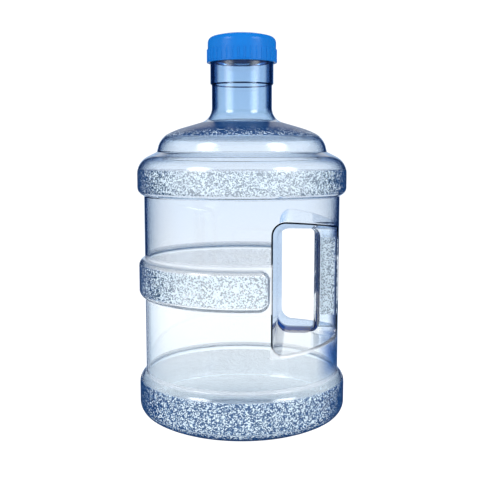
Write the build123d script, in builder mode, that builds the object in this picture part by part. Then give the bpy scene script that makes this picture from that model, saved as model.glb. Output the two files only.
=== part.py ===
"""Large water jug: a blown polycarbonate bottle with a hollow side grip, a screw cap and its sealing ring.

Frame: millimetres, +Z up, origin at the centre of the base, grip towards +X, the hole behind it along Y.
"""
from build123d import *
from math import asin, cos, degrees, hypot, radians, sin, tan
import os

# Whole jug
overall_height = 335.0
wall = 1.6

# Body and its three rings
body_radius = 84.4
ring_radius = 90.0
root_fillet = 1.2

# Base
foot_radius = 56.0
foot_width = 6.0
underside_rise = 8.0
foot_fillet = 3.0
heel_height = 18.5
heel_side_radius = 12.5
base_ring_side_top = 35.0
base_ring_edge_height = 9.8

# Middle ring, which stops at both sides of the grip recess
middle_ring_radius = 89.4
middle_ring_mid = 127.5
middle_ring_height = 34.4
middle_ring_edge_radius = 6.7
middle_ring_end_angle = 69.2
middle_ring_corner_radius = 9.0
middle_ring_depth = 10.0

# Upper ring
upper_ring_bottom = 198.0
upper_ring_edge_height = 7.3
upper_ring_side_top = 216.5
upper_ring_crown_radius = 16.4
upper_ring_slope = 26.0
seam_radius = 73.0

# Shoulder and neck
neck_foot = 272.4
neck_fillet = 13.0
shoulder_flat_length = 16.0
shoulder_flat_slope = 16.25
shoulder_dome_radius = 72.8
shoulder_dome_slope = 26.8
shoulder_edge_radius = 17.5
shoulder_edge_slope = 78.8
neck_radius = 25.75
collar_radius = 26.95
collar_bottom = 292.4
collar_top = 312.0
finish_radius = 25.4
lip_height = 327.6
lip_fillet = 0.6
bore_radius = 23.5
bore_overlap = 1.5

# Grip: the recess that goes through the jug's side, and the hollow bar left outside it
recess_inner_x = 31.7
recess_outer_x = 105.0
recess_reach = 95.0
recess_floor = 82.0
recess_roof = 169.0
floor_draft = 5.6
roof_draft = 8.4
rim_radius = 14.0
recess_lip_fillet = 2.0
recess_corner_radius = 10.0
grip_inner_x = 63.2
grip_proud = 2.0
grip_depth = 31.0
grip_corner_radius = 9.0
grip_end_radius = 4.0

# Weld round the grip's hole
weld_left = 3.0
weld_right = 5.0
weld_bottom = 6.4
weld_top = 5.0
weld_half_width = 2.6
weld_edge_radius = 2.4
weld_corner_radius = 14.0

# Two-start right-hand thread
thread_lead = 12.0
thread_starts = 2
thread_height = 1.5
thread_root_width = 2.8
thread_crest_width = 1.0
thread_clearance = 0.5
thread_axial_play = 0.3
thread_sink = 0.3
neck_thread_start = 315.4
neck_thread_turns = 0.6
cap_thread_lag = 0.14
cap_thread_turns = 0.5

# Screw cap
cap_bottom = 310.0
cap_inner_radius = 27.45
cap_top_radius = 29.05
cap_crown_radius = 97.5
cap_edge_radius = 5.5
cap_step_height = 321.0
rib_ring_radius = 29.3
rib_radius = 0.6
rib_count = 36
cap_rim_height = 1.0
cap_rim_chamfer = 0.3
ceiling_centre = 332.6
ceiling_dome_radius = 19.0
ceiling_land_radius = 20.5
bead_radius = 0.7
bead_height = 326.5

# Sealing ring
seal_thickness = 2.0
seal_radius = 27.15
seal_inner_radius = 22.0
seal_plug_radius = 23.2
seal_plug_height = 1.4
seal_edge_fillet = 0.35

# Places worked out from the dimensions above
foot_inner_radius = foot_radius - foot_width
base_ring_root = base_ring_side_top + base_ring_edge_height
upper_ring_side_bottom = upper_ring_bottom + upper_ring_edge_height
ring_step = ring_radius - body_radius
grip_width = body_radius + grip_proud - grip_inner_x
thread_spacing = thread_lead / thread_starts
ceiling_land = lip_height + seal_thickness
ceiling_turn = degrees(asin(ceiling_dome_radius / cap_crown_radius))
ceiling_dome_edge = ceiling_centre - cap_crown_radius * (1 - cos(radians(ceiling_turn)))
thread_overlap = thread_height - thread_clearance
flank_slope = (thread_root_width - thread_crest_width) / (2 * thread_height)
flank_gap = thread_crest_width + flank_slope * thread_overlap + thread_axial_play
cap_thread_start = neck_thread_start - flank_gap + thread_lead * cap_thread_lag

# The bottle's section is drawn on the side away from the grip, so that the seam of its round faces lies there
away_from_grip = Plane(origin=(0, 0, 0), x_dir=(-1, 0, 0), z_dir=(0, 1, 0))

os.makedirs("parts", exist_ok=True)


def heading(angle):
    """Unit direction in the section plane, angle in degrees above the outward horizontal."""
    return (cos(radians(angle)), sin(radians(angle)))


def edge_radius(step, height):
    """Radius of the arc that leaves a ring's vertical side and comes in by step within height."""
    return (step**2 + height**2) / (2 * step)


def bottle_outline():
    """Closed outline of the bottle as if it were solid, right of the axis. Call it inside a BuildLine."""
    dish_radius = (foot_inner_radius**2 + underside_rise**2) / (2 * underside_rise)
    dish_turn = degrees(asin(foot_inner_radius / dish_radius))
    JernArc((0, underside_rise), (1, 0), dish_radius, -dish_turn)
    Line((foot_inner_radius, 0), (foot_radius, 0))

    heel_width = ring_radius - foot_radius - heel_side_radius
    heel_rise = heel_height - heel_side_radius
    heel_floor_radius = (heel_width**2 + heel_height**2 - heel_side_radius**2) / (2 * heel_rise)
    heel_turn = degrees(asin(heel_width / (heel_floor_radius - heel_side_radius)))
    heel_floor = JernArc((foot_radius, 0), (1, 0), heel_floor_radius, heel_turn)
    heel_side = JernArc(heel_floor @ 1, heel_floor % 1, heel_side_radius, 90 - heel_turn)
    Line(heel_side @ 1, (ring_radius, base_ring_side_top))

    base_edge = edge_radius(ring_step, base_ring_edge_height)
    base_turn = degrees(asin(base_ring_edge_height / base_edge))
    shoulder = JernArc((ring_radius, base_ring_side_top), (0, 1), base_edge, base_turn)
    Line(shoulder @ 1, (body_radius, upper_ring_bottom))

    upper_edge = edge_radius(ring_step, upper_ring_edge_height)
    upper_turn = degrees(asin(upper_ring_edge_height / upper_edge))
    under = JernArc((body_radius, upper_ring_bottom), heading(90 - upper_turn), upper_edge, upper_turn)
    Line(under @ 1, (ring_radius, upper_ring_side_top))
    crown_turn = 90 - upper_ring_slope
    crown = JernArc((ring_radius, upper_ring_side_top), (0, 1), upper_ring_crown_radius, crown_turn)
    crown_run = ((crown @ 1).X - seam_radius) / cos(radians(upper_ring_slope))
    seam = PolarLine(crown @ 1, crown_run, 180 - upper_ring_slope)

    bend = JernArc((neck_radius, neck_foot), (0, -1), neck_fillet, 90 - shoulder_flat_slope)
    flat = PolarLine(bend @ 1, shoulder_flat_length, -shoulder_flat_slope)
    dome = JernArc(flat @ 1, flat % 1, shoulder_dome_radius, shoulder_flat_slope - shoulder_dome_slope)
    edge = JernArc(dome @ 1, dome % 1, shoulder_edge_radius, shoulder_dome_slope - shoulder_edge_slope)
    Line(edge @ 1, seam @ 1)

    collar_step = collar_radius - neck_radius
    finish_step = collar_radius - finish_radius
    Polyline(
        (neck_radius, neck_foot),
        (neck_radius, collar_bottom - collar_step),
        (collar_radius, collar_bottom),
        (collar_radius, collar_top - finish_step),
        (finish_radius, collar_top),
        (finish_radius, lip_height),
        (0, lip_height),
        (0, underside_rise),
    )


def corners_at(sketch, radius, height):
    """The vertices of a section at a given radius and height."""
    reach = 0.01
    return sketch.vertices().filter_by(
        lambda v: abs(abs(v.X) - radius) < reach and abs(v.Y - height) < reach
    )


def seam_height():
    """Height of the crease between the upper ring and the shoulder."""
    crown_drop = upper_ring_crown_radius * cos(radians(upper_ring_slope))
    crown_radius = ring_radius - upper_ring_crown_radius * (1 - sin(radians(upper_ring_slope)))
    slope_drop = (crown_radius - seam_radius) * tan(radians(upper_ring_slope))
    return upper_ring_side_top + crown_drop + slope_drop


def soften_roots(section):
    """Round the creases where the rings and the foot meet their neighbours."""
    creases = [(body_radius, base_ring_root), (body_radius, upper_ring_bottom), (seam_radius, seam_height())]
    for radius, height in creases:
        fillet(corners_at(section, radius, height), root_fillet)
    fillet(corners_at(section, foot_inner_radius, 0), foot_fillet)


def is_on_recess_lip(edge):
    """Whether an edge lies where the recess breaks through the body's round side."""
    middle = edge @ 0.5
    on_body = abs(hypot(middle.X, middle.Y) - body_radius) < 0.05
    return on_body and base_ring_root + root_fillet < middle.Z < upper_ring_bottom - root_fillet


def is_radial(edge):
    """Whether an edge is a level line that points away from the axis."""
    along = edge % 0.5
    middle = edge @ 0.5
    sideways = along.X * middle.Y - along.Y * middle.X
    return abs(along.Z) < 0.01 and abs(sideways) < 0.01 * hypot(middle.X, middle.Y)


def middle_ring(inset):
    """The ring round the middle, cut short at the recess and rounded at both ends; inset shrinks it."""
    start = middle_ring_end_angle + degrees(inset / body_radius)
    inner_radius = middle_ring_radius - inset - middle_ring_depth
    start_plane = Plane(
        origin=(0, 0, middle_ring_mid),
        x_dir=(cos(radians(start)), sin(radians(start)), 0),
        z_dir=(sin(radians(start)), -cos(radians(start)), 0),
    )
    with BuildPart() as ring:
        with BuildSketch(start_plane):
            with Locations((inner_radius, 0)):
                Rectangle(
                    middle_ring_depth,
                    middle_ring_height - 2 * inset,
                    align=(Align.MIN, Align.CENTER),
                )
        revolve(axis=Axis.Z, revolution_arc=360 - 2 * start)
        corners = ring.edges().filter_by(is_radial)
        fillet(corners, middle_ring_corner_radius - inset)
        outer_face = ring.faces().sort_by(SortBy.AREA)[-1]
        fillet(outer_face.edges(), middle_ring_edge_radius - inset)
    return ring.part


def recess(grow):
    """The space taken out of the jug's side around the grip bar; grow swells it by the wall."""
    floor_drop = recess_reach * sin(radians(floor_draft))
    roof_rise = recess_reach * sin(radians(roof_draft))
    low = recess_floor - grow
    high = recess_roof + grow
    with BuildPart() as space:
        with BuildSketch(Plane.YZ.offset(recess_inner_x - grow)) as waist:
            with BuildLine():
                Polyline(
                    (-recess_reach, low - floor_drop),
                    (0, low),
                    (recess_reach, low - floor_drop),
                    (recess_reach, high + roof_rise),
                    (0, high),
                    (-recess_reach, high + roof_rise),
                    close=True,
                )
            make_face()
            fillet(waist.vertices().filter_by(lambda v: abs(v.X) < 1), rim_radius - grow)
        extrude(amount=recess_outer_x - recess_inner_x + grow)
        inner_face = space.faces().sort_by(Axis.X)[0]
        long_edges = inner_face.edges().filter_by(lambda e: abs((e @ 0.5).Y) < recess_reach - 1)
        fillet(long_edges, recess_corner_radius + grow)
        with BuildSketch(Plane.XY):
            with Locations((grip_inner_x + grip_width / 2, 0)):
                RectangleRounded(grip_width - 2 * grow, grip_depth - 2 * grow, grip_corner_radius - grow)
        extrude(amount=overall_height, mode=Mode.SUBTRACT)
        bar_ends = space.edges(Select.LAST).filter_by(lambda e: abs((e % 0.5).Z) < 0.5)
        fillet(bar_ends, grip_end_radius + grow)
    return space.part


def hole_weld():
    """Thick edge round the grip's hole, where the two halves of the bottle's wall run together."""
    left = recess_inner_x - weld_left
    right = grip_inner_x + weld_right
    low = recess_floor - weld_bottom
    high = recess_roof + weld_top
    with BuildPart() as weld:
        with BuildSketch(Plane.XZ):
            with Locations(((left + right) / 2, (low + high) / 2)):
                RectangleRounded(right - left, high - low, weld_corner_radius)
        extrude(amount=weld_half_width, both=True)
        rims = weld.edges().filter_by(lambda e: abs(abs((e @ 0.5).Y) - weld_half_width) < 0.01)
        fillet(rims, weld_edge_radius)
    return weld.part


def thread(root_radius, side, start_height, turns, start_turn):
    """Thread ridges round the neck (side 1, crests outward) or inside the cap (side -1, crests inward)."""
    crest_radius = root_radius + side * thread_height
    sunk_radius = root_radius - side * thread_sink
    half_root = thread_root_width / 2
    half_crest = thread_crest_width / 2
    with BuildPart() as ridge:
        with BuildLine():
            Helix(thread_lead, thread_lead * turns, root_radius, center=(0, 0, start_height))
        with BuildSketch(Plane.XZ):
            with BuildLine():
                Polyline(
                    (sunk_radius, start_height - half_root),
                    (root_radius, start_height - half_root),
                    (crest_radius, start_height - half_crest),
                    (crest_radius, start_height + half_crest),
                    (root_radius, start_height + half_root),
                    (sunk_radius, start_height + half_root),
                    close=True,
                )
            make_face()
        sweep(is_frenet=True)
    with BuildPart() as ridges:
        for turn in range(thread_starts):
            add(ridge.part, rotation=(0, 0, 360 * (start_turn + turn / thread_starts)))
    return ridges.part


# Bottle: an outer shape and the hollow inside it, both shaped round the grip's recess
with BuildPart() as bottle_outside:
    with BuildSketch(away_from_grip) as outer_section:
        with BuildLine():
            bottle_outline()
        make_face()
        soften_roots(outer_section)
    revolve(axis=Axis.Z)
    add(recess(0), mode=Mode.SUBTRACT)
    recess_lip = bottle_outside.edges(Select.LAST).filter_by(is_on_recess_lip)
    fillet(recess_lip, recess_lip_fillet)
    add(middle_ring(0))

with BuildPart() as hollow:
    with BuildSketch(away_from_grip) as inner_section:
        with BuildLine():
            bottle_outline()
        make_face()
        mirror(about=Plane.YZ)
        soften_roots(inner_section)
        offset(amount=-wall)
        Rectangle(ring_radius, neck_foot, align=(Align.MIN, Align.MIN), mode=Mode.INTERSECT)
        with Locations((0, neck_foot - bore_overlap)):
            Rectangle(bore_radius, lip_height - neck_foot + bore_overlap, align=(Align.MIN, Align.MIN))
    revolve(axis=Axis.Z)
    add(middle_ring(wall))
    add(recess(wall), mode=Mode.SUBTRACT)
    add(hole_weld(), mode=Mode.SUBTRACT)

with BuildPart() as bottle:
    add(bottle_outside.part)
    add(thread(finish_radius, 1, neck_thread_start, neck_thread_turns, 0))
    add(hollow.part, mode=Mode.SUBTRACT)
    lip_edges = bottle.edges().filter_by(GeomType.CIRCLE).group_by(Axis.Z)[-1]
    fillet(lip_edges, lip_fillet)
bottle.part.label = "bottle"

# Screw cap: domed crown, plain top, ribbed skirt with a rim, threads and a bead that holds the seal
with BuildPart() as screw_cap:
    edge_reach = cap_top_radius - cap_edge_radius
    crown_turn = degrees(asin(edge_reach / (cap_crown_radius - cap_edge_radius)))
    with BuildSketch(Plane.XZ):
        with BuildLine():
            crown = JernArc((0, overall_height), (1, 0), cap_crown_radius, -crown_turn)
            crown_edge = JernArc(crown @ 1, crown % 1, cap_edge_radius, crown_turn - 90)
            Polyline(
                crown_edge @ 1,
                (cap_top_radius, cap_step_height),
                (rib_ring_radius, cap_step_height),
                (rib_ring_radius, cap_bottom + cap_rim_height),
                (rib_ring_radius + rib_radius, cap_bottom + cap_rim_height),
                (rib_ring_radius + rib_radius, cap_bottom + cap_rim_chamfer),
                (rib_ring_radius + rib_radius - cap_rim_chamfer, cap_bottom),
                (cap_inner_radius, cap_bottom),
                (cap_inner_radius, ceiling_land),
                (ceiling_land_radius, ceiling_land),
                (ceiling_dome_radius, ceiling_dome_edge),
            )
            JernArc((0, ceiling_centre), (1, 0), cap_crown_radius, -ceiling_turn)
            Line((0, ceiling_centre), (0, overall_height))
        make_face()
    revolve(axis=Axis.Z)
    with BuildSketch(Plane.XY.offset(cap_bottom + cap_rim_height / 2)):
        with PolarLocations(rib_ring_radius, rib_count):
            Circle(rib_radius)
    extrude(amount=cap_step_height - cap_bottom - cap_rim_height / 2)
    with BuildSketch(Plane.XZ):
        with Locations((cap_inner_radius, bead_height)):
            Circle(bead_radius)
    revolve(axis=Axis.Z)
    add(thread(cap_inner_radius, -1, cap_thread_start, cap_thread_turns, cap_thread_lag))
screw_cap.part.label = "screw_cap"

# Sealing ring: lies on the bottle's lip, with a short skirt that centres it in the bore
with BuildPart() as cap_seal:
    with BuildSketch(Plane.XZ) as seal_section:
        with BuildLine():
            Polyline(
                (seal_inner_radius, lip_height - seal_plug_height),
                (seal_plug_radius, lip_height - seal_plug_height),
                (seal_plug_radius, lip_height),
                (seal_radius, lip_height),
                (seal_radius, ceiling_land),
                (seal_inner_radius, ceiling_land),
                close=True,
            )
        make_face()
        fillet(corners_at(seal_section, seal_radius, ceiling_land), seal_edge_fillet)
        fillet(corners_at(seal_section, seal_radius, lip_height), seal_edge_fillet)
        fillet(corners_at(seal_section, seal_inner_radius, ceiling_land), seal_edge_fillet)
        fillet(corners_at(seal_section, seal_inner_radius, lip_height - seal_plug_height), seal_edge_fillet)
        fillet(corners_at(seal_section, seal_plug_radius, lip_height - seal_plug_height), seal_edge_fillet)
    revolve(axis=Axis.Z)
cap_seal.part.label = "cap_seal"

export_step(bottle.part, "parts/bottle.step")
export_step(screw_cap.part, "parts/screw_cap.step")
export_step(cap_seal.part, "parts/cap_seal.step")
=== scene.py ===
import math

import bpy
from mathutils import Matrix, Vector


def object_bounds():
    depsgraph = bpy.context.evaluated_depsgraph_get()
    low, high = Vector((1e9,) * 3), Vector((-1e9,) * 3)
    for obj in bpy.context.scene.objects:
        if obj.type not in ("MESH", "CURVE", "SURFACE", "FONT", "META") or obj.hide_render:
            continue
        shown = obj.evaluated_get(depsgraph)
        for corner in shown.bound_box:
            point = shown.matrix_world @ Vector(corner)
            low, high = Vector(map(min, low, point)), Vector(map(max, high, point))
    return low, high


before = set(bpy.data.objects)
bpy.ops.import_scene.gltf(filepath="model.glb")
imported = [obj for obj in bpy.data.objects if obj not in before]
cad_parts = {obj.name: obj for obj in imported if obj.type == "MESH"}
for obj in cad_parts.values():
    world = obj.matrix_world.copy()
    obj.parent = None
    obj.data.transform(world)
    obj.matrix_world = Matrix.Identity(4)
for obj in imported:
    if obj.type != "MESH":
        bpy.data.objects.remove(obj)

cad_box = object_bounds()
jug_height = cad_box[1][2]
scene = bpy.context.scene
white = (1.0, 1.0, 1.0)


# --- Camera -------------------------------------------------------------------------------------------------

camera_distance = 0.700
camera_height = 0.236
camera_turn = math.radians(5.5)
camera_pitch = math.radians(7.1)
camera_lens = 57.96
camera_shift_x = 0.0162
camera_shift_y = 0.002
camera_nearest = 0.01
sensor_width = 36.0
level_view = math.radians(90)


def around(distance, turn, height):
    """A point at a distance from the jug's axis, turned from the front towards the grip's side."""
    return Vector((distance * math.sin(turn), -distance * math.cos(turn), height))


def make_camera():
    """The camera in front of the jug, a little towards the grip and looking slightly down."""
    data = bpy.data.cameras.new("camera")
    data.lens = camera_lens
    data.sensor_width = sensor_width
    data.shift_x = camera_shift_x
    data.shift_y = camera_shift_y
    data.clip_start = camera_nearest
    camera = bpy.data.objects.new("camera", data)
    camera.location = around(camera_distance, camera_turn, camera_height)
    camera.rotation_euler = (level_view - camera_pitch, 0, camera_turn)
    scene.collection.objects.link(camera)
    scene.camera = camera


# --- Node helpers -------------------------------------------------------------------------------------------

class Nodes:
    """Short calls that add nodes to one tree and link them."""

    def __init__(self, tree):
        self.tree = tree

    def add(self, kind, **settings):
        """A new node with some of its properties set."""
        node = self.tree.nodes.new(kind)
        for name, value in settings.items():
            setattr(node, name, value)
        return node

    def put(self, value, socket):
        """Link an output to a socket, or set the socket to a number or colour."""
        if isinstance(value, bpy.types.NodeSocket):
            self.tree.links.new(value, socket)
        elif isinstance(value, tuple) and len(value) == 3:
            socket.default_value = (*value, 1.0)
        else:
            socket.default_value = value

    def math(self, operation, a, b=0.0, clamp=False):
        """One Math node's result."""
        node = self.add("ShaderNodeMath", operation=operation, use_clamp=clamp)
        self.put(a, node.inputs[0])
        self.put(b, node.inputs[1])
        return node.outputs[0]

    def sum(self, first, *others):
        """All the values added."""
        for other in others:
            first = self.math("ADD", first, other)
        return first

    def product(self, first, *others):
        """All the values multiplied."""
        for other in others:
            first = self.math("MULTIPLY", first, other)
        return first

    def largest(self, first, *others):
        """The largest of the values."""
        for other in others:
            first = self.math("MAXIMUM", first, other)
        return first

    def step(self, value, start, end, low=0.0, high=1.0):
        """Smooth change from low to high while value goes from start to end."""
        node = self.add("ShaderNodeMapRange", interpolation_type="SMOOTHSTEP")
        self.put(value, node.inputs["Value"])
        for name, number in (("From Min", start), ("From Max", end), ("To Min", low), ("To Max", high)):
            self.put(number, node.inputs[name])
        return node.outputs["Result"]

    def between(self, factor, low, high):
        """Low where the factor is 0, high where it is 1."""
        return self.step(factor, 0.0, 1.0, low, high)

    def band(self, value, low, high, soft):
        """1 between low and high, falling to 0 over a soft edge on both sides."""
        rise = self.step(value, low - soft, low + soft)
        fall = self.step(value, high - soft, high + soft, 1.0, 0.0)
        return self.product(rise, fall)

    def mix(self, factor, a, b):
        """Colour a where the factor is 0, colour b where it is 1."""
        node = self.add("ShaderNodeMix", data_type="RGBA")
        self.put(factor, node.inputs[0])
        self.put(a, node.inputs["A"])
        self.put(b, node.inputs["B"])
        return node.outputs["Result"]

    def ramp(self, value, stops):
        """A colour that runs through stops, a list of places and colours."""
        node = self.add("ShaderNodeValToRGB")
        self.put(value, node.inputs[0])
        elements = node.color_ramp.elements
        for element, (position, colour) in zip(elements, (stops[0], stops[-1])):
            element.position = position
            element.color = (*colour, 1.0)
        for position, colour in stops[1:-1]:
            elements.new(position).color = (*colour, 1.0)
        return node.outputs["Color"]

    def coordinates(self):
        """The shaded point in the node's own coordinates, which are the jug's at rest."""
        return self.add("ShaderNodeTexCoord").outputs["Object"]

    def split(self, vector):
        """The x, y and z of a vector."""
        node = self.add("ShaderNodeSeparateXYZ")
        self.put(vector, node.inputs[0])
        return tuple(node.outputs)

    def noise(self, coordinates, scale, detail):
        """Soft noise around 0.5."""
        node = self.add("ShaderNodeTexNoise")
        self.put(coordinates, node.inputs["Vector"])
        self.put(scale, node.inputs["Scale"])
        self.put(detail, node.inputs["Detail"])
        return node.outputs["Fac"]

    def cells(self, coordinates, scale):
        """Small cells, each with its own number between 0 and 1."""
        node = self.add("ShaderNodeTexVoronoi")
        self.put(coordinates, node.inputs["Vector"])
        self.put(scale, node.inputs["Scale"])
        channels = self.add("ShaderNodeSeparateColor")
        self.put(node.outputs["Color"], channels.inputs[0])
        return channels.outputs[0]

    def bump(self, height, distance):
        """A normal bent by a height."""
        node = self.add("ShaderNodeBump")
        self.put(height, node.inputs["Height"])
        self.put(distance, node.inputs["Distance"])
        return node.outputs["Normal"]


def new_material(name):
    """A material with its Principled shader, and the nodes around it."""
    material = bpy.data.materials.new(name)
    material.use_nodes = True
    nodes = Nodes(material.node_tree)
    return material, nodes, material.node_tree.nodes["Principled BSDF"]


def dress(node_name, material):
    """Give a CAD node one material, in place of its own."""
    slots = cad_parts[node_name].data.materials
    slots.clear()
    slots.append(material)


# --- Studio -------------------------------------------------------------------------------------------------
# Directions are measured two ways. Height goes from 0, straight down, over 0.5, level, to 1, straight up.
# Ahead is 1 for what lies beyond the jug as the camera sees it, 0 beside it and -1 behind the camera.

far_below = (0.012, 0.030, 0.120)
far_above = (0.300, 0.440, 0.740)
backdrop_stops = [(0.26, far_below), (0.34, white), (0.64, white), (0.80, far_above)]

room_dark = (0.006, 0.027, 0.100)
room_side = (0.300, 0.420, 0.620)
room_fade = 0.02
side_ahead = (0.60, -0.30)
side_heights = (0.37, 0.68)

gap_blue = (0.52, 0.67, 0.88)
gap_ahead = (0.945, 0.978)
gap_heights = (0.36, 0.725)
gap_whitens = (0.625, 0.660)

strip_glow = 2.8
strip_ahead = (-0.78, -0.42)
strip_ahead_fade = 0.14
strip_heights = (0.500, 0.80)
strip_height_fade = 0.025

box_glow = 6.5
box_turn = math.radians(53)
box_rise = math.radians(34)
box_half_angle = math.radians(4)
box_fade_angle = math.radians(17)
box_sides = {"left_box": -1, "right_box": 1}

matt_fill = (0.74, 0.77, 0.82)
world_strength = 1.1


def box_direction(side):
    """Direction from the jug to the softbox on one side of the camera."""
    level = around(math.cos(box_rise), camera_turn + side * box_turn, math.sin(box_rise))
    return level.normalized()


def glowing(strength):
    """White light of a strength."""
    return tuple(strength * part for part in white)


def box_reflection(nodes, direction):
    """The two softboxes: bright in the middle and fading to all sides."""
    boxes = []
    for side in box_sides.values():
        toward = nodes.add("ShaderNodeVectorMath", operation="DOT_PRODUCT")
        nodes.put(direction, toward.inputs[0])
        toward.inputs[1].default_value = box_direction(side)
        fade, full = math.cos(box_fade_angle), math.cos(box_half_angle)
        boxes.append(nodes.step(toward.outputs["Value"], fade, full))
    nearest = nodes.largest(*boxes)
    return nodes.product(nearest, nearest)


def reflected_room(nodes, direction, x, y, height):
    """What the jug mirrors: a dark room, paler at its sides, with a bright gap, strips and softboxes."""
    azimuth = nodes.sum(nodes.math("ARCTAN2", x, y), camera_turn)
    ahead = nodes.math("COSINE", azimuth)
    side = nodes.product(nodes.step(ahead, *side_ahead), nodes.band(height, *side_heights, room_fade))
    gap = nodes.product(nodes.step(ahead, *gap_ahead), nodes.band(height, *gap_heights, room_fade))
    strip = nodes.product(
        nodes.band(ahead, *strip_ahead, strip_ahead_fade),
        nodes.band(height, *strip_heights, strip_height_fade),
    )
    room = nodes.mix(side, room_dark, room_side)
    room = nodes.mix(gap, room, nodes.mix(nodes.step(height, *gap_whitens), gap_blue, white))
    room = nodes.mix(strip, room, glowing(strip_glow))
    return nodes.mix(box_reflection(nodes, direction), room, glowing(box_glow))


def make_world():
    """The light from all around, set by how it is met.

    It is white to the camera, grey to matt surfaces, a backdrop through clear walls and a room in reflections.
    """
    world = bpy.data.worlds.new("studio")
    world.use_nodes = True
    world.node_tree.nodes.clear()
    nodes = Nodes(world.node_tree)
    direction = nodes.add("ShaderNodeTexCoord").outputs["Generated"]
    x, y, z = nodes.split(direction)
    height = nodes.sum(nodes.product(z, 0.5), 0.5)
    backdrop = nodes.ramp(height, backdrop_stops)
    room = reflected_room(nodes, direction, x, y, height)
    path = nodes.add("ShaderNodeLightPath")
    not_reflected = nodes.math("LESS_THAN", path.outputs["Glossy Depth"], 0.5)
    seen_through = nodes.product(path.outputs["Is Transmission Ray"], not_reflected)
    colour = nodes.mix(seen_through, room, backdrop)
    colour = nodes.mix(path.outputs["Is Diffuse Ray"], colour, matt_fill)
    colour = nodes.mix(path.outputs["Is Camera Ray"], colour, white)
    background = nodes.add("ShaderNodeBackground")
    nodes.put(colour, background.inputs["Color"])
    nodes.put(world_strength, background.inputs["Strength"])
    output = nodes.add("ShaderNodeOutputWorld")
    nodes.put(background.outputs[0], output.inputs["Surface"])
    scene.world = world


floor_radius = 0.6
floor_corners = 96
floor_gap = 0.0003
floor_grey = (0.05, 0.05, 0.05)
floor_glow = 1.12


def make_floor():
    """A white disc that the jug stands on, about as bright as the backdrop."""
    bpy.ops.mesh.primitive_circle_add(vertices=floor_corners, radius=floor_radius, fill_type="NGON")
    floor = bpy.context.object
    floor.name = "floor"
    floor.location.z = -floor_gap
    material, nodes, shader = new_material("floor_white")
    nodes.put(floor_grey, shader.inputs["Base Color"])
    nodes.put(white, shader.inputs["Emission Color"])
    nodes.put(floor_glow, shader.inputs["Emission Strength"])
    nodes.put(0.0, shader.inputs["Specular IOR Level"])
    floor.data.materials.append(material)
    floor.visible_glossy = False


box_distance = 1.2
box_size = 0.34
box_power = 2.6
box_target = Vector((0.0, 0.0, 0.2))


def make_lights():
    """The softboxes' light on matt surfaces. Their soft-edged reflections are in the world."""
    for name, side in box_sides.items():
        data = bpy.data.lights.new(name, "AREA")
        data.size = box_size
        data.energy = box_power
        light = bpy.data.objects.new(name, data)
        light.location = box_target + box_distance * box_direction(side)
        light.rotation_euler = (box_target - light.location).to_track_quat("-Z", "Y").to_euler()
        light.visible_glossy = False
        light.visible_transmission = False
        scene.collection.objects.link(light)


wall_bounces = 24
mirror_bounces = 8


def make_view():
    """Plain colours, and enough bounces for light to pass all of the jug's walls."""
    scene.view_settings.view_transform = "Standard"
    scene.cycles.max_bounces = wall_bounces
    scene.cycles.transmission_bounces = wall_bounces
    scene.cycles.glossy_bounces = mirror_bounces


# --- Bottle: where things are on it -------------------------------------------------------------------------
# Heights, radii, x and y are in metres from the jug's foot and axis. A pair is where something starts and
# ends or, where a change has one side only, where the change starts and where it is full.

class Skin:
    """Where on the bottle the shaded point is, and how it is seen."""

    def __init__(self, nodes):
        self.coordinates = nodes.coordinates()
        self.x, self.y, self.z = nodes.split(self.coordinates)
        self.reach = nodes.math("ABSOLUTE", self.y)
        across = nodes.product(self.x, self.x)
        along = nodes.product(self.y, self.y)
        self.radius = nodes.math("SQRT", nodes.sum(across, along))
        geometry = nodes.add("ShaderNodeNewGeometry")
        self.inside = geometry.outputs["Backfacing"]
        tilt = nodes.split(geometry.outputs["Normal"])[2]
        self.rise = nodes.product(tilt, nodes.between(self.inside, 1.0, -1.0))
        self.facing = nodes.add("ShaderNodeLayerWeight").outputs["Facing"]


stipple_fade = 0.0008
upper_ring_stipple = (0.1990, 0.2205)
upper_ring_face = (0.0886, 0.0890)
middle_ring_stipple = (0.1150, 0.1400)
middle_ring_face = (0.0882, 0.0888)
shoulder_stipple = (0.2480, 0.2600)
shoulder_slope = (0.0, 0.1)
heel_under = (0.0128, 0.0122)
heel_slope = (0.02, -0.02)
heel_inner = (0.0540, 0.0560)
base_top = (0.0400, 0.0385)
base_foot = (0.0110, 0.0122)
bar_fade = 0.0012
bar_stipple = (0.0970, 0.1630)
bar_inner = (0.0655, 0.0668)
bar_outer = (0.0834, 0.0840)
bar_flank = (0.0146, 0.0152)


def stipple_mask(nodes, skin):
    """1 where the mould's stipple is: shoulder's top, rings, base, heel and the grip's bar."""
    ring_face = nodes.step(skin.radius, *upper_ring_face)
    upper = nodes.product(nodes.band(skin.z, *upper_ring_stipple, stipple_fade), ring_face)
    middle = nodes.product(
        nodes.band(skin.z, *middle_ring_stipple, stipple_fade),
        nodes.step(skin.radius, *middle_ring_face),
    )
    shoulder = nodes.product(
        nodes.band(skin.z, *shoulder_stipple, stipple_fade),
        nodes.step(skin.rise, *shoulder_slope),
    )
    heel = nodes.product(
        nodes.step(skin.z, *heel_under),
        nodes.step(skin.rise, *heel_slope),
        nodes.step(skin.radius, *heel_inner),
    )
    base = nodes.product(ring_face, nodes.step(skin.z, *base_top), nodes.step(skin.z, *base_foot))
    bar_face = nodes.largest(nodes.step(skin.radius, *bar_outer), nodes.step(skin.reach, *bar_flank))
    bar = nodes.product(
        nodes.band(skin.z, *bar_stipple, bar_fade),
        nodes.step(skin.x, *bar_inner),
        bar_face,
    )
    return nodes.largest(upper, middle, shoulder, heel, base, bar)


recess_sides = (0.0290, 0.0615)
recess_side_fade = 0.0015
recess_heights = (0.0720, 0.1830)
recess_height_fade = 0.0010
recess_depth = (0.0818, 0.0808)
dish_radius = (0.0590, 0.0560)
dish_height = (0.0140, 0.0110)


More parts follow.
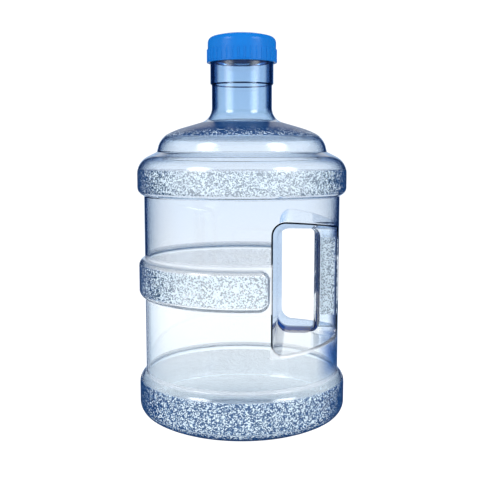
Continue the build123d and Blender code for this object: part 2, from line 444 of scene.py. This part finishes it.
def recess_mask(nodes, skin):
    """1 in the hollow that leads to the grip's hole."""
    return nodes.product(
        nodes.band(skin.x, *recess_sides, recess_side_fade),
        nodes.band(skin.z, *recess_heights, recess_height_fade),
        nodes.step(skin.radius, *recess_depth),
    )


def dish_mask(nodes, skin):
    """1 in the shallow dish under the base."""
    return nodes.product(nodes.step(skin.radius, *dish_radius), nodes.step(skin.z, *dish_height))


# --- Bottle: painted dark edges -----------------------------------------------------------------------------
# Facing is 0 where the skin is seen square on and 1 where it is seen edge-on.

# The dark edges are painted shade, partly the longer path through the wall and partly the dark surroundings
# that edges refract.
edge_start_left = 0.68
edge_start_right = 0.58
edge_start_turn = (0.02, 0.07)
edge_full = 0.96
neck_heights = (0.2640, 0.2720)
neck_facing = (0.40, 0.60)
upper_heights = (0.1900, 0.2000)
upper_facing = (0.58, 0.92)
upper_edge_share = 0.80
hollow_edge_share = 0.08


def edge_shade_share(nodes, skin, hollow):
    """How much painted shade darkens the skin where it is seen edge-on, partly the longer path through the
    wall and partly the dark surroundings that edges refract. Most at the neck, hardly at all in the hollows.
    """
    start = nodes.step(skin.x, *edge_start_turn, edge_start_left, edge_start_right)
    body = nodes.step(skin.facing, start, edge_full)
    neck = nodes.product(nodes.step(skin.z, *neck_heights), nodes.step(skin.facing, *neck_facing))
    upper = nodes.product(
        nodes.step(skin.z, *upper_heights),
        nodes.step(skin.facing, *upper_facing),
        upper_edge_share,
    )
    edge = nodes.largest(body, neck, upper)
    return nodes.product(edge, nodes.between(hollow, 1.0, hollow_edge_share))


# --- Bottle: grains of the stipple --------------------------------------------------------------------------
# Each cell of the stipple has a number between 0 and 1. Below dark_top it is a dark grain of painted shade,
# above light_top a light one, a painted glint, and between them it stays clear.

grain_scale = 1180.0
shoulder_from = (0.236, 0.240)
base_below = (0.045, 0.040)
far_wall_heights = (0.0120, 0.0200)
far_wall_heel = 0.03
far_wall_grain = 0.13

side_facing = (0.10, 0.60)
dark_share_front = 0.66
dark_share_full_at = 0.9
dark_share_base = 0.90
light_share_front = 0.95
light_share_edge = 0.25
light_share_full_at = 0.9
light_share_shoulder = 0.90

dark_side_facing = (0.30, 0.85)
dark_side = 0.34
dark_rings = (0.35, 0.43)
dark_rings_heights = (0.150, 0.190)
dark_base = 0.52
dark_shoulder = (0.25, 0.52)
dark_shoulder_heights = (0.2480, 0.2560)
clear_gap = 0.14
clear_gap_shoulder = 0.08


def grains(nodes, skin, mask, side, edge, on_shoulder, on_base):
    """The number of each cell, and how strongly it is a dark grain of painted shade or a light one of painted
    glint.
    """
    cell = nodes.cells(skin.coordinates, grain_scale)
    far_wall = nodes.step(skin.z, *far_wall_heights, far_wall_heel, far_wall_grain)
    seen = nodes.product(mask, nodes.between(skin.inside, 1.0, far_wall))

    at_side = nodes.product(
        nodes.step(skin.facing, *dark_side_facing),
        nodes.between(on_shoulder, dark_side, 0.0),
    )
    shoulder_top = nodes.step(skin.z, *dark_shoulder_heights, *dark_shoulder)
    rings_top = nodes.step(skin.z, *dark_rings_heights, *dark_rings)
    dark_top = nodes.sum(
        nodes.product(on_shoulder, shoulder_top),
        at_side,
        nodes.between(on_base, rings_top, dark_base),
    )
    light_top = nodes.sum(dark_top, nodes.between(on_shoulder, clear_gap, clear_gap_shoulder))

    dark_share = nodes.largest(
        nodes.step(side, 0.0, dark_share_full_at, dark_share_front, 1.0),
        nodes.product(on_base, dark_share_base),
        on_shoulder,
    )
    light_share = nodes.largest(
        nodes.step(edge, 0.0, light_share_full_at, light_share_front, light_share_edge),
        nodes.product(on_shoulder, light_share_shoulder),
    )
    dark = nodes.product(seen, nodes.math("LESS_THAN", cell, dark_top), dark_share)
    light = nodes.product(seen, nodes.math("GREATER_THAN", cell, light_top), light_share)
    return cell, dark, light


# --- Bottle: tints, painted shade and painted glints --------------------------------------------------------

neck_tint = (0.527, 0.68, 0.865)
wall_tints = [
    (0.00, (0.88, 0.95, 1.0)),
    (0.13, (0.93, 0.97, 1.0)),
    (0.27, (0.990, 0.997, 1.0)),
    (0.42, (0.96, 0.98, 1.0)),
    (0.60, (0.90, 0.945, 1.0)),
    (0.72, (0.88, 0.935, 1.0)),
    (0.80, (0.60, 0.75, 0.91)),
    (1.00, neck_tint),
]
frost_blue = (0.400, 0.660, 0.920)
frost_far_wall = 0.05
frost_base = 0.80
frost_shoulder = 0.90
frost_rings = 0.12
# Painted shade that makes the wall and the stipple bluer towards their sides.
deep_side_shade_blue = (0.090, 0.240, 0.560)
pale_side_shade_blue = (0.420, 0.680, 0.940)
side_shade_facing = (0.34, 0.92)
side_shade_share = 0.50


def wall_tint_and_side_shade(nodes, skin, mask, side, hollow, on_shoulder, on_base):
    """The clear wall: pale low down, bluer at the neck and in the stipple, and made bluer towards its sides by
    painted shade.
    """
    tint = nodes.ramp(nodes.math("DIVIDE", skin.z, jug_height), wall_tints)
    frosted = nodes.largest(
        nodes.product(on_base, frost_base),
        nodes.product(on_shoulder, frost_shoulder),
        frost_rings,
    )
    frost = nodes.product(mask, nodes.between(skin.inside, 1.0, frost_far_wall), frosted)
    tint = nodes.mix(frost, tint, frost_blue)
    tint = nodes.mix(nodes.product(mask, side), tint, deep_side_shade_blue)
    side_shade = nodes.product(nodes.step(skin.facing, *side_shade_facing), nodes.between(hollow, side_shade_share, 0.0))
    return nodes.mix(side_shade, tint, pale_side_shade_blue)


# Painted shade at the grip: the wall below it, its bar and the bar's outer side.
below_grip_x = (0.0640, 0.0815)
below_grip_heights = (0.0500, 0.0740)
below_grip_fade = 0.0080
bar_x = (0.0640, 0.0700)
bar_heights = (0.0850, 0.1720)
bar_height_fade = 0.0040
bar_share = 0.22
bar_side_shade_blue = (0.030, 0.110, 0.300)
bar_side_x = (0.0745, 0.0850)
bar_side_heights = (0.0780, 0.1750)
bar_side_fade = 0.0030


def grip_painted_shade(nodes, skin, tint):
    """Painted shade on the grip's bar, its outer side and the wall below it, each a step bluer."""
    below = nodes.product(
        nodes.step(skin.x, *below_grip_x),
        nodes.band(skin.z, *below_grip_heights, below_grip_fade),
    )
    bar = nodes.product(
        nodes.step(skin.x, *bar_x),
        nodes.band(skin.z, *bar_heights, bar_height_fade),
        bar_share,
    )
    bar_side = nodes.product(
        nodes.step(skin.x, *bar_side_x),
        nodes.band(skin.z, *bar_side_heights, bar_side_fade),
    )
    tint = nodes.mix(below, tint, deep_side_shade_blue)
    tint = nodes.mix(bar, tint, pale_side_shade_blue)
    return nodes.mix(bar_side, tint, bar_side_shade_blue)


# Painted shade for the skin seen edge-on and for the grip's outer edge.
edge_shade_navy = (0.010, 0.045, 0.170)
grip_edge_x = (0.0800, 0.0850)
grip_edge_heights = (0.0460, 0.1850)
grip_edge_fade = 0.0040
grip_edge_share = 0.85


def edge_shade_tint(nodes, skin, tint, edge):
    """Painted shade: navy where the skin is seen edge-on, and along the grip's outer edge, standing in for the
    dark that these edges refract.
    """
    grip_edge = nodes.product(
        nodes.step(skin.x, *grip_edge_x),
        nodes.band(skin.z, *grip_edge_heights, grip_edge_fade),
        grip_edge_share,
    )
    return nodes.mix(nodes.largest(edge, grip_edge), tint, edge_shade_navy)


# Painted glints and painted shade for the stipple's grains.
glint_white = (0.80, 0.93, 1.0)
speck_shade_navy = (0.002, 0.040, 0.150)
speck_shade_teal = (0.010, 0.048, 0.085)
navy_facing = (0.30, 0.70)


def grain_glint_and_shade_tint(nodes, skin, tint, dark, light, on_shoulder, on_base):
    """Painted glints and painted shade in the grains: white glints, and dark specks that are teal in front and
    navy at the sides, base and shoulder.
    """
    navy = nodes.largest(on_base, on_shoulder, nodes.step(skin.facing, *navy_facing))
    tint = nodes.mix(dark, tint, nodes.mix(navy, speck_shade_teal, speck_shade_navy))
    return nodes.mix(light, tint, glint_white)


# --- Bottle: painted highlights and painted shade -----------------------------------------------------------

# Painted highlight: a pale halo that covers the dark refracted lines at these places.
painted_halo_white = (0.93, 0.97, 1.0)
halo_fade = 0.0010
floor_slope = 0.098
body_skin = (0.0815, 0.0825)
ring_root = (0.0868, 0.0858)
lip_heights = (0.0795, 0.0835)
lip_start = (0.0330, 0.0400)
lip_x = (0.0560, 0.0700)
lip_shares = (0.55, 0.20)
corner_heights = (0.0800, 0.0890)
corner_height_fade = 0.0015
corner_x = (0.0300, 0.0370)
corner_share = 0.35
floor_heights = (0.0785, 0.0845)
floor_start = (0.0330, 0.0380)
floor_share = 0.05
root_above = (0.1435, 0.1480)
root_below = (0.0440, 0.0475)
root_share = 0.30
crease_inner = (0.0838, 0.0844)
crease_heights = (0.1085, 0.1465)
crease_share = 0.55
dish_share = 0.45


def painted_halo_share(nodes, skin, dish):
    """Painted highlight: how far the wall is painted pale at the recess's lower lip, in the roots of the rings
    and in the dish.
    """
    level = nodes.sum(skin.z, nodes.product(skin.reach, floor_slope))
    on_skin = nodes.step(skin.radius, *body_skin)
    in_root = nodes.step(skin.radius, *ring_root)
    lip = nodes.product(
        nodes.band(level, *lip_heights, halo_fade),
        on_skin,
        nodes.step(skin.x, *lip_start),
        nodes.step(skin.x, *lip_x, *lip_shares),
    )
    corner = nodes.product(
        nodes.band(level, *corner_heights, corner_height_fade),
        nodes.band(skin.x, *corner_x, halo_fade),
        on_skin,
        corner_share,
    )
    recess_floor = nodes.product(
        nodes.band(level, *floor_heights, halo_fade),
        nodes.step(skin.x, *floor_start),
        floor_share,
    )
    root_bands = nodes.largest(
        nodes.band(skin.z, *root_above, halo_fade),
        nodes.band(skin.z, *root_below, halo_fade),
    )
    roots = nodes.product(root_bands, on_skin, in_root, root_share)
    crease = nodes.product(
        in_root,
        nodes.step(skin.radius, *crease_inner),
        nodes.band(skin.z, *crease_heights, halo_fade),
        crease_share,
    )
    return nodes.largest(lip, corner, recess_floor, roots, crease, nodes.product(dish, dish_share))


# Painted shade for the thick rim round the grip's hole.
weld_shade_navy = (0.020, 0.085, 0.360)
weld_x = (0.0270, 0.0664)
weld_x_fade = 0.0006
weld_heights = (0.0740, 0.1760)
weld_height_fade = 0.0008
weld_low = (0.0990, 0.0870)
weld_reach = (0.0045, 0.0086)
weld_reach_fade = 0.0015
weld_away_from_axis = (0.0325, 0.0360)
weld_high = (0.1560, 0.1690)
weld_high_depth = 0.35
weld_shallow = 0.30


def weld_shade_share(nodes, skin):
    """Painted shade on the thick rim round the grip's hole, standing in for the dark that it refracts: least
    at its top and towards the jug's middle.
    """
    low = nodes.step(skin.z, *weld_low)
    reach = nodes.step(skin.z, *weld_low, *weld_reach)
    rim = nodes.product(
        nodes.band(skin.x, *weld_x, weld_x_fade),
        nodes.band(skin.z, *weld_heights, weld_height_fade),
        nodes.step(skin.reach, nodes.sum(reach, weld_reach_fade), reach),
    )
    depth = nodes.product(
        nodes.largest(nodes.step(skin.x, *weld_away_from_axis), low),
        nodes.step(skin.z, *weld_high, 1.0, weld_high_depth),
    )
    return nodes.product(rim, nodes.between(depth, weld_shallow, 1.0))


polycarbonate_ior = 1.58
volume_blue = (0.03, 0.57, 0.95)
volume_density = 15.0
stipple_bump = 0.0003
wall_roughness = 0.02
stipple_roughness = 0.285
wall_gloss = 0.50
weld_gloss = 0.06
light_opacity = 0.80
dark_opacity = 0.95
weld_opacity = 0.90


def polycarbonate():
    """Clear blue polycarbonate with stippled bands, and painted light: shade where it is seen edge-on, at its
    sides and grip, glints and shade in the grains, pale halos, and shade on the rim round the grip's hole.
    """
    material, nodes, shader = new_material("polycarbonate")
    skin = Skin(nodes)
    mask = stipple_mask(nodes, skin)
    dish = dish_mask(nodes, skin)
    hollow = nodes.largest(recess_mask(nodes, skin), dish)
    edge = edge_shade_share(nodes, skin, hollow)
    side = nodes.step(skin.facing, *side_facing)
    zones = (nodes.step(skin.z, *shoulder_from), nodes.step(skin.z, *base_below))
    cell, dark, light = grains(nodes, skin, mask, side, edge, *zones)
    painted_halo = painted_halo_share(nodes, skin, dish)
    weld_shade = weld_shade_share(nodes, skin)

    tint = wall_tint_and_side_shade(nodes, skin, mask, side, hollow, *zones)
    # Painted shade at the grip and edges, painted glints and shade in the grains, painted highlights, and
    # painted shade on the rim round the hole.
    tint = grip_painted_shade(nodes, skin, tint)
    tint = edge_shade_tint(nodes, skin, tint, edge)
    tint = grain_glint_and_shade_tint(nodes, skin, tint, dark, light, *zones)
    tint = nodes.mix(painted_halo, tint, painted_halo_white)
    tint = nodes.mix(weld_shade, tint, weld_shade_navy)
    opaque = nodes.sum(
        nodes.product(light, light_opacity),
        nodes.product(dark, dark_opacity),
        nodes.product(weld_shade, weld_opacity),
        painted_halo,
    )
    clear = nodes.math("SUBTRACT", 1.0, opaque, clamp=True)

    nodes.put(tint, shader.inputs["Base Color"])
    nodes.put(clear, shader.inputs["Transmission Weight"])
    nodes.put(nodes.between(mask, wall_roughness, stipple_roughness), shader.inputs["Roughness"])
    nodes.put(nodes.between(weld_shade, wall_gloss, weld_gloss), shader.inputs["Specular IOR Level"])
    nodes.put(polycarbonate_ior, shader.inputs["IOR"])
    nodes.put(nodes.bump(nodes.product(cell, mask), stipple_bump), shader.inputs["Normal"])
    volume = nodes.add("ShaderNodeVolumeAbsorption")
    nodes.put(volume_blue, volume.inputs["Color"])
    nodes.put(volume_density, volume.inputs["Density"])
    nodes.put(volume.outputs[0], material.node_tree.nodes["Material Output"].inputs["Volume"])
    return material


# --- Cap and seal -------------------------------------------------------------------------------------------

cap_blues = ((0.0005, 0.145, 0.52), (0.001, 0.175, 0.59))
cap_mottle_scale = 60.0
cap_mottle_detail = 3.0
cap_mottle = (0.3, 0.7)
cap_roughness = (0.24, 0.32)
cap_gloss = 0.30
cap_grain_scale = 900.0
cap_grain_bump = 0.00004
fine_detail = 2.0


def cap_plastic():
    """Satin blue polyethylene with a faint moulded grain."""
    material, nodes, shader = new_material("cap_plastic")
    coordinates = nodes.coordinates()
    mottle = nodes.noise(coordinates, cap_mottle_scale, cap_mottle_detail)
    grain = nodes.noise(coordinates, cap_grain_scale, fine_detail)
    nodes.put(nodes.mix(mottle, *cap_blues), shader.inputs["Base Color"])
    nodes.put(nodes.step(mottle, *cap_mottle, *cap_roughness), shader.inputs["Roughness"])
    nodes.put(cap_gloss, shader.inputs["Specular IOR Level"])
    nodes.put(nodes.bump(grain, cap_grain_bump), shader.inputs["Normal"])
    return material


seal_whites = ((0.80, 0.83, 0.86), (0.88, 0.90, 0.92))
seal_cloud_scale = 140.0
seal_roughness = 0.42
seal_scatter_share = 0.25
seal_scatter_depth = 0.002
seal_grain_scale = 1200.0
seal_grain_bump = 0.00003


def seal_silicone():
    """Milky translucent silicone."""
    material, nodes, shader = new_material("seal_silicone")
    coordinates = nodes.coordinates()
    cloud = nodes.noise(coordinates, seal_cloud_scale, fine_detail)
    grain = nodes.noise(coordinates, seal_grain_scale, fine_detail)
    nodes.put(nodes.mix(cloud, *seal_whites), shader.inputs["Base Color"])
    nodes.put(seal_roughness, shader.inputs["Roughness"])
    nodes.put(seal_scatter_share, shader.inputs["Subsurface Weight"])
    nodes.put(seal_scatter_depth, shader.inputs["Subsurface Scale"])
    nodes.put(nodes.bump(grain, seal_grain_bump), shader.inputs["Normal"])
    return material


# --- The scene ----------------------------------------------------------------------------------------------

make_camera()
make_view()
make_world()
make_floor()
make_lights()
dress("bottle", polycarbonate())
dress("screw_cap", cap_plastic())
dress("cap_seal", seal_silicone())
